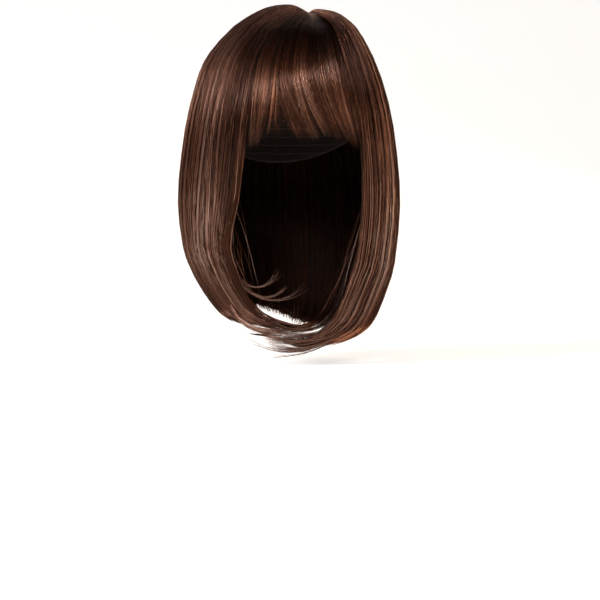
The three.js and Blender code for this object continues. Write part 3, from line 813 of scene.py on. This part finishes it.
# The hair under the top strands is painted far darker: painted shade in the gaps between locks
UNDER_HAIR_PAINTED_SHADE = [
    (0.3, (0.006, 0.0018, 0.0008)),
    (0.55, (0.026, 0.0098, 0.0052)),
    (0.75, (0.08, 0.034, 0.021)),
]
NET_TONES = [(0.0, (0.040, 0.021, 0.014)), (0.12, (0.010, 0.0050, 0.0036))]
STITCH_EDGE = [(0.86, (0.0, 0.0, 0.0)), (0.95, (1.0, 1.0, 1.0))]
STITCH_COLOUR = (0.050, 0.026, 0.017, 1)
SCALP_TONES = [(0.12, (0.05, 0.03, 0.02)), (0.3, (0.27, 0.21, 0.165))]
HAIR_GLOSS_TINT = (0.45, 0.25, 0.17, 1)
TONE_DRIFT, TONE_DRIFT_LOWEST = 0.4, 0.8


def new_material(name):
    material = bpy.data.materials.new(name)
    material.use_nodes = True
    nodes, links = material.node_tree.nodes, material.node_tree.links
    nodes.clear()
    output = nodes.new("ShaderNodeOutputMaterial")
    surface = nodes.new("ShaderNodeBsdfPrincipled")
    links.new(surface.outputs["BSDF"], output.inputs["Surface"])
    return material, nodes, links, surface


def colour_ramp(nodes, stops):
    ramp = nodes.new("ShaderNodeValToRGB")
    band = ramp.color_ramp
    while len(band.elements) < len(stops):
        band.elements.new(0.5)
    for element, (place, colour) in zip(band.elements, stops):
        element.position = place
        element.color = (*colour, 1)
    return ramp


def multiply_add(nodes, links, *terms):
    """First term times the second plus the third; each is a number or another node's output."""
    node = nodes.new("ShaderNodeMath")
    node.operation = "MULTIPLY_ADD"
    for term, socket in zip(terms, node.inputs):
        if isinstance(term, float):
            socket.default_value = term
        else:
            links.new(term, socket)
    return node.outputs[0]


def set_hair_gloss(surface, roughness, level):
    surface.inputs["Metallic"].default_value = 0.8
    surface.inputs["Roughness"].default_value = roughness
    surface.inputs["Specular IOR Level"].default_value = level
    surface.inputs["Specular Tint"].default_value = HAIR_GLOSS_TINT


def strand_material():
    """Brown strands: each has its own tone, with a slow change along the hair."""
    material, nodes, links, surface = new_material("hair_strands")
    tone = nodes.new("ShaderNodeAttribute")
    tone.attribute_name = "tone"
    place = nodes.new("ShaderNodeTexCoord")
    drift = nodes.new("ShaderNodeTexNoise")
    drift.inputs["Scale"].default_value = 45
    drift.inputs["Detail"].default_value = 2
    links.new(place.outputs["Object"], drift.inputs["Vector"])
    drifting = multiply_add(nodes, links, drift.outputs["Fac"], TONE_DRIFT, TONE_DRIFT_LOWEST)
    toned = multiply_add(nodes, links, tone.outputs["Fac"], drifting, 0.0)
    ramp = colour_ramp(nodes, HAIR_TONES)
    links.new(toned, ramp.inputs["Fac"])
    links.new(ramp.outputs["Color"], surface.inputs["Base Color"])
    set_hair_gloss(surface, roughness=0.28, level=0.4)
    surface.inputs["Coat Weight"].default_value = 0.055
    surface.inputs["Coat IOR"].default_value = 2.4
    surface.inputs["Coat Roughness"].default_value = 0.2
    return material


def body_material():
    """The hair under the top strands: painted darker as shade, with fine streaks along the hair."""
    material, nodes, links, surface = new_material("under_hair")
    place = nodes.new("ShaderNodeUVMap")
    place.uv_map = "along_hair"
    stretch = nodes.new("ShaderNodeMapping")
    stretch.inputs["Scale"].default_value = (1, 0.02, 1)
    links.new(place.outputs["UV"], stretch.inputs["Vector"])
    streaks = nodes.new("ShaderNodeTexNoise")
    streaks.inputs["Scale"].default_value = 1500
    streaks.inputs["Detail"].default_value = 4
    streaks.inputs["Roughness"].default_value = 0.6
    links.new(stretch.outputs["Vector"], streaks.inputs["Vector"])
    ramp = colour_ramp(nodes, UNDER_HAIR_PAINTED_SHADE)
    links.new(streaks.outputs["Fac"], ramp.inputs["Fac"])
    links.new(ramp.outputs["Color"], surface.inputs["Base Color"])
    bump = nodes.new("ShaderNodeBump")
    bump.inputs["Distance"].default_value = 0.0005
    bump.inputs["Strength"].default_value = 0.8
    links.new(streaks.outputs["Fac"], bump.inputs["Height"])
    links.new(bump.outputs["Normal"], surface.inputs["Normal"])
    set_hair_gloss(surface, roughness=0.5, level=0.3)
    return material


def cap_material():
    """Dark stretch net, with the rows of stitching that carry the hair."""
    material, nodes, links, surface = new_material("cap_net")
    place = nodes.new("ShaderNodeTexCoord")
    net = nodes.new("ShaderNodeTexVoronoi")
    net.feature = "DISTANCE_TO_EDGE"
    net.inputs["Scale"].default_value = 620
    links.new(place.outputs["Object"], net.inputs["Vector"])
    rows = nodes.new("ShaderNodeTexWave")
    rows.bands_direction = "Z"
    rows.inputs["Scale"].default_value = 38
    rows.inputs["Distortion"].default_value = 0.6
    links.new(place.outputs["Object"], rows.inputs["Vector"])
    ramp = colour_ramp(nodes, NET_TONES)
    links.new(net.outputs["Distance"], ramp.inputs["Fac"])
    seam = colour_ramp(nodes, STITCH_EDGE)
    links.new(rows.outputs["Fac"], seam.inputs["Fac"])
    mix = nodes.new("ShaderNodeMix")
    mix.data_type = "RGBA"
    links.new(seam.outputs["Color"], mix.inputs["Factor"])
    links.new(ramp.outputs["Color"], mix.inputs["A"])
    mix.inputs["B"].default_value = STITCH_COLOUR
    links.new(mix.outputs["Result"], surface.inputs["Base Color"])
    bump = nodes.new("ShaderNodeBump")
    bump.inputs["Distance"].default_value = 0.0012
    bump.inputs["Strength"].default_value = 0.7
    links.new(seam.outputs["Color"], bump.inputs["Height"])
    links.new(bump.outputs["Normal"], surface.inputs["Normal"])
    surface.inputs["Roughness"].default_value = 0.82
    return material


def scalp_material():
    """Matt strip with the dots of the hair roots."""
    material, nodes, links, surface = new_material("scalp_strip")
    place = nodes.new("ShaderNodeTexCoord")
    roots = nodes.new("ShaderNodeTexVoronoi")
    roots.inputs["Scale"].default_value = 900
    links.new(place.outputs["Object"], roots.inputs["Vector"])
    ramp = colour_ramp(nodes, SCALP_TONES)
    links.new(roots.outputs["Distance"], ramp.inputs["Fac"])
    links.new(ramp.outputs["Color"], surface.inputs["Base Color"])
    surface.inputs["Roughness"].default_value = 0.75
    return material


# Pieces

WELD_GAP = 0.00002
PARTING_CREASE = math.radians(40)


def activate(obj):
    bpy.ops.object.select_all(action="DESELECT")
    obj.select_set(True)
    bpy.context.view_layer.objects.active = obj


def node_copy(node, name):
    """A welded copy of a solid, ready to be worked on."""
    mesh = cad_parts[node].data.copy()
    mesh.name = name
    mesh.materials.clear()
    obj = bpy.data.objects.new(name, mesh)
    bpy.context.scene.collection.objects.link(obj)
    activate(obj)
    bpy.ops.object.mode_set(mode="EDIT")
    bpy.ops.mesh.select_all(action="SELECT")
    bpy.ops.mesh.remove_doubles(threshold=WELD_GAP)
    bpy.ops.object.mode_set(mode="OBJECT")
    return obj


def finish_piece(obj, node, material):
    obj.data.materials.append(material)
    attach(obj, "root")
    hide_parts(node)
    return obj


def make_cap(material):
    obj = node_copy("cap", "cap_net")
    smooth = obj.modifiers.new("smooth", "SUBSURF")
    smooth.levels = smooth.render_levels = 1
    bpy.ops.object.modifier_apply(modifier=smooth.name)
    bpy.ops.object.shade_smooth()
    return finish_piece(obj, "cap", material)


def make_parting(material):
    obj = node_copy("parting_strip", "parting_scalp")
    bpy.ops.object.shade_smooth_by_angle(angle=PARTING_CREASE)
    return finish_piece(obj, "parting_strip", material)


hair = strand_material()
under = body_material()
make_cap(cap_material())
make_parting(scalp_material())

BODIES = [
    # piece, node, section, columns, rows, where it ends, share of the hair's depth that lies over it
    ("right_side_body", "right_side_hair", "right", 41, 64, side_body_end, 0.4),
    ("left_side_body", "left_side_hair", "left", 41, 64, side_body_end, 0.4),
    ("back_body", "back_hair", "back", 61, 44, back_body_end, 0.4),
    ("fringe_body", "fringe", "fringe", 49, 30, fringe_body_end, 0.75),
]
for name, node_name, section, columns, rows, end_at, share in BODIES:
    body = body_object(name, section, columns, rows, end_at, share)
    finish_piece(body, node_name, under)

LOCKS = {
    # locks in the section, seed
    "right": (40, 3),
    "left": (40, 5),
    "back": (64, 7),
    "fringe": (22, 21),
}
LAYOUTS = {
    section: lay_out_locks(np.random.default_rng(seed), locks)
    for section, (locks, seed) in LOCKS.items()
}

HANGING_PIECES = [
    # piece, node, section, layer, strands, points on a strand, half-widths, seed
    ("right_side_top", "right_side_hair", "right", "top", 1100, 26, (0.21, 0.41), 31),
    ("right_side_under", "right_side_hair", "right", "under", 1100, 12, (0.22, 0.43), 32),
    ("right_side_inside", "right_side_hair", "right", "inside", 220, 9, (0.25, 0.45), 33),
    ("left_side_top", "left_side_hair", "left", "top", 1100, 26, (0.21, 0.41), 41),
    ("left_side_under", "left_side_hair", "left", "under", 1100, 12, (0.22, 0.43), 42),
    ("left_side_inside", "left_side_hair", "left", "inside", 220, 9, (0.25, 0.45), 43),
    ("back_top", "back_hair", "back", "top", 900, 16, (0.28, 0.52), 51),
    ("back_under", "back_hair", "back", "under", 1100, 11, (0.3, 0.55), 52),
    ("back_inside", "back_hair", "back", "inside", 500, 9, (0.28, 0.5), 53),
]
for name, node_name, section, layer, count, points, width, seed in HANGING_PIECES:
    rng = np.random.default_rng(seed)
    made = hanging_strands(rng, section, layer, LAYOUTS[section], count, points, width)
    finish_piece(strand_object(name, *made), node_name, hair)

FRINGE_PIECES = [
    # piece, layer, strands, points on a strand, half-widths, seed
    ("fringe_top", "top", 1400, 20, (0.16, 0.33), 61),
    ("fringe_under", "under", 1200, 9, (0.18, 0.36), 62),
]
for name, layer, count, points, width, seed in FRINGE_PIECES:
    made = fringe_strands(np.random.default_rng(seed), layer, LAYOUTS["fringe"], count, points, width)
    finish_piece(strand_object(name, *made), "fringe", hair)

WISP_SEED, WISP_POINTS, WISP_HALF_WIDTHS = 71, 12, (0.12, 0.24)
made = wisp_strands(np.random.default_rng(WISP_SEED), WISP_POINTS, WISP_HALF_WIDTHS)
finish_piece(strand_object("loose_wisps", *made), "right_side_hair", hair)


# Stage, lights and camera: sizes in metres, angles in degrees from the front and above the floor

FLOOR_GAP = 0.014
STAGE_WIDTH, STAGE_DEPTH, STAGE_HEIGHT, STAGE_BEND, STAGE_BEND_STEPS = 10, 8, 5, 1.5, 24
STAGE_BACK, STAGE_NEAR = 2.6, 0.01
LIGHT_TARGET = Vector((0, 0, -0.12))
SENSOR_WIDTH = 36
VIEW_AZIMUTH, VIEW_ELEVATION, VIEW_DISTANCE = -9.0, 2.0, 2.0
VIEW_WIDTH = 0.5706
VIEW_RIGHT, VIEW_UP = 0.010, -0.271


def stage_material():
    material, nodes, links, surface = new_material("pale_stage")
    surface.inputs["Base Color"].default_value = (0.6, 0.6, 0.6, 1)
    surface.inputs["Roughness"].default_value = 0.9
    surface.inputs["Emission Color"].default_value = (1, 1, 1, 1)
    surface.inputs["Emission Strength"].default_value = 0.55
    return material


def make_stage():
    """A pale floor that curves up into a plain wall behind."""
    bpy.ops.object.select_all(action="DESELECT")
    level = cad_low.z - FLOOR_GAP
    bpy.ops.mesh.primitive_plane_add(size=1, location=(0, STAGE_BACK - STAGE_DEPTH / 2, level))
    stage = bpy.context.object
    stage.name = "stage"
    stage.scale = (STAGE_WIDTH, STAGE_DEPTH, 1)
    bpy.ops.object.transform_apply(location=True, rotation=True, scale=True)
    bpy.ops.object.mode_set(mode="EDIT")
    bpy.ops.mesh.select_mode(type="EDGE")
    bpy.ops.mesh.select_all(action="DESELECT")
    bpy.ops.object.mode_set(mode="OBJECT")
    for edge in stage.data.edges:
        edge.select = all(stage.data.vertices[v].co.y > STAGE_BACK - STAGE_NEAR for v in edge.vertices)
    bpy.ops.object.mode_set(mode="EDIT")
    bpy.ops.mesh.extrude_region_move(TRANSFORM_OT_translate={"value": (0, 0, STAGE_HEIGHT)})
    bpy.ops.mesh.select_all(action="DESELECT")
    bpy.ops.object.mode_set(mode="OBJECT")
    for edge in stage.data.edges:
        ends = [stage.data.vertices[v].co for v in edge.vertices]
        edge.select = all(p.y > STAGE_BACK - STAGE_NEAR and p.z < level + STAGE_NEAR for p in ends)
    bpy.ops.object.mode_set(mode="EDIT")
    bpy.ops.mesh.bevel(offset=STAGE_BEND, segments=STAGE_BEND_STEPS, affect="EDGES")
    bpy.ops.object.mode_set(mode="OBJECT")
    bpy.ops.object.shade_smooth()
    stage.data.materials.append(stage_material())


def direction(azimuth, elevation):
    turn, tilt = math.radians(azimuth), math.radians(elevation)
    return Vector((math.sin(turn) * math.cos(tilt), -math.cos(turn) * math.cos(tilt), math.sin(tilt)))


def area_light(name, azimuth, elevation, distance, size, power, colour):
    """A soft light aimed at the middle of the hair, placed by its direction from there."""
    towards = direction(azimuth, elevation)
    data = bpy.data.lights.new(name, "AREA")
    data.shape = "RECTANGLE"
    data.size, data.size_y = size
    data.energy = power
    data.color = colour
    light = bpy.data.objects.new(name, data)
    light.location = LIGHT_TARGET + towards * distance
    light.rotation_mode = "QUATERNION"
    light.rotation_quaternion = towards.to_track_quat("Z", "Y")
    bpy.context.scene.collection.objects.link(light)


def make_world():
    world = bpy.data.worlds.new("studio")
    world.use_nodes = True
    background = world.node_tree.nodes["Background"]
    background.inputs["Color"].default_value = (1, 1, 1, 1)
    background.inputs["Strength"].default_value = 0.12
    bpy.context.scene.world = world


def make_camera():
    turn = math.radians(VIEW_AZIMUTH)
    back = direction(VIEW_AZIMUTH, VIEW_ELEVATION)
    right = Vector((math.cos(turn), math.sin(turn), 0))
    up = back.cross(right)
    data = bpy.data.cameras.new("camera")
    data.sensor_width = SENSOR_WIDTH
    data.lens = data.sensor_width * VIEW_DISTANCE / VIEW_WIDTH
    camera = bpy.data.objects.new("camera", data)
    camera.location = right * VIEW_RIGHT + up * VIEW_UP + back * VIEW_DISTANCE
    camera.rotation_mode = "QUATERNION"
    camera.rotation_quaternion = back.to_track_quat("Z", "Y")
    bpy.context.scene.collection.objects.link(camera)
    bpy.context.scene.camera = camera


make_stage()
make_world()
LIGHTS = [
    # name, azimuth from the front, elevation, distance, width and height, power, colour
    ("key", -12, 27, 2.3, (1.6, 0.8), 16, (0.98, 0.98, 1)),
    ("left_high", -64, 22, 2.0, (0.8, 0.45), 49, (0.98, 0.98, 1)),
    ("left_side", -62, -4, 1.4, (0.7, 0.2), 1.3, (1, 0.8, 0.6)),
    ("right_side", 62, -1, 2.0, (0.7, 1.2), 47, (1, 0.72, 0.49)),
    ("back_right", 146, 16, 2.0, (0.7, 0.7), 7, (1, 0.7, 0.4)),
    ("back_top", 180, 45, 2.0, (1.2, 0.8), 9, (1, 0.68, 0.4)),
]
for light in LIGHTS:
    area_light(*light)
make_camera()
bpy.context.scene.view_settings.view_transform = "Standard"
